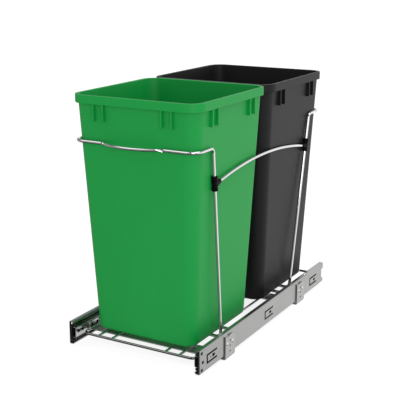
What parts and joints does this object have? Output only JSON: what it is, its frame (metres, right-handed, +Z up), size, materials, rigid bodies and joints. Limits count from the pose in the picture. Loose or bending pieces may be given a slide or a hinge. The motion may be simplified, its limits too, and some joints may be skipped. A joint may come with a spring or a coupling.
{
  "type": "pull-out waste bin frame",
  "caption": "Cabinet pull-out waste frame: ball-bearing slides on floor brackets, wire base and hoops, and lift-out tapered bins.",
  "frame": {"origin": "centre of the bounding box's bottom face, on the surface that the feet stand on", "axes": "+X across the cabinet, +Y to the back of the cabinet (the frame pulls out along -Y), +Z up"},
  "size_m": [0.2912, 0.5652, 0.4814],
  "materials": {
    "zinc_steel": "zinc plated, satin",
    "fastener_steel": "zinc plated, polished heads",
    "cage_steel": "zinc plated",
    "ball_steel": "polished",
    "chrome_wire": "bright chrome plate",
    "guide_plastic": "moulded",
    "clip_plastic": "moulded",
    "green_bin_plastic": "fine moulded texture",
    "black_bin_plastic": "fine moulded texture"
  },
  "bodies": {
    "cabinet_rails": {"slide_outer_left": "zinc_steel", "slide_outer_right": "zinc_steel", "bracket_front_left": "zinc_steel", "bracket_front_right": "zinc_steel", "bracket_rear_left": "zinc_steel", "bracket_rear_right": "zinc_steel", "bracket_rivets": "fastener_steel"},
    "middle_left": {"slide_middle_left": "zinc_steel", "front_guide_left": "guide_plastic"},
    "middle_right": {"slide_middle_right": "zinc_steel", "front_guide_right": "guide_plastic"},
    "outer_cage_left": {"outer_ball_cage_left": "cage_steel", "outer_balls_left": "ball_steel"},
    "outer_cage_right": {"outer_ball_cage_right": "cage_steel", "outer_balls_right": "ball_steel"},
    "inner_cage_left": {"inner_ball_cage_left": "cage_steel", "inner_balls_left": "ball_steel"},
    "inner_cage_right": {"inner_ball_cage_right": "cage_steel", "inner_balls_right": "ball_steel"},
    "carriage": {"slide_inner_left": "zinc_steel", "slide_inner_right": "zinc_steel", "cross_strap_front": "zinc_steel", "cross_strap_rear": "zinc_steel", "frame_screws": "fastener_steel", "base_perimeter_wire": "chrome_wire", "base_long_wires": "chrome_wire", "base_cross_wires": "chrome_wire", "front_hoop_wire": "chrome_wire", "rear_hoop_wire": "chrome_wire", "side_arc_wire_left": "chrome_wire", "side_arc_wire_right": "chrome_wire", "wire_clip_front_left": "clip_plastic", "wire_clip_front_right": "clip_plastic", "wire_clip_rear_left": "clip_plastic", "wire_clip_rear_right": "clip_plastic"},
    "green_bin": {"green_bin": "green_bin_plastic"},
    "black_bin": {"black_bin": "black_bin_plastic"}
  },
  "joints": [
    {"name": "carriage_slide", "type": "slide", "parent": "cabinet_rails", "child": "carriage", "axis": [0, -1, 0], "range_m": [0, 0.55]},
    {"name": "middle_left_slide", "type": "slide", "parent": "cabinet_rails", "child": "middle_left", "axis": [0, -1, 0], "range_m": [0, 0.275]},
    {"name": "outer_cage_left_slide", "type": "slide", "parent": "cabinet_rails", "child": "outer_cage_left", "axis": [0, -1, 0], "range_m": [0, 0.1375]},
    {"name": "inner_cage_left_slide", "type": "slide", "parent": "cabinet_rails", "child": "inner_cage_left", "axis": [0, -1, 0], "range_m": [0, 0.4125]},
    {"name": "middle_right_slide", "type": "slide", "parent": "cabinet_rails", "child": "middle_right", "axis": [0, -1, 0], "range_m": [0, 0.275]},
    {"name": "outer_cage_right_slide", "type": "slide", "parent": "cabinet_rails", "child": "outer_cage_right", "axis": [0, -1, 0], "range_m": [0, 0.1375]},
    {"name": "inner_cage_right_slide", "type": "slide", "parent": "cabinet_rails", "child": "inner_cage_right", "axis": [0, -1, 0], "range_m": [0, 0.4125]},
    {"name": "green_bin_lift", "type": "slide", "parent": "carriage", "child": "green_bin", "axis": [0, 0, 1], "range_m": [0, 0.46]},
    {"name": "black_bin_lift", "type": "slide", "parent": "carriage", "child": "black_bin", "axis": [0, 0, 1], "range_m": [0, 0.46]}
  ],
  "couplings": [
    {"joint": "middle_left_slide", "follows": "carriage_slide", "ratio": 0.5},
    {"joint": "outer_cage_left_slide", "follows": "carriage_slide", "ratio": 0.25},
    {"joint": "inner_cage_left_slide", "follows": "carriage_slide", "ratio": 0.75},
    {"joint": "middle_right_slide", "follows": "carriage_slide", "ratio": 0.5},
    {"joint": "outer_cage_right_slide", "follows": "carriage_slide", "ratio": 0.25},
    {"joint": "inner_cage_right_slide", "follows": "carriage_slide", "ratio": 0.75}
  ]
}
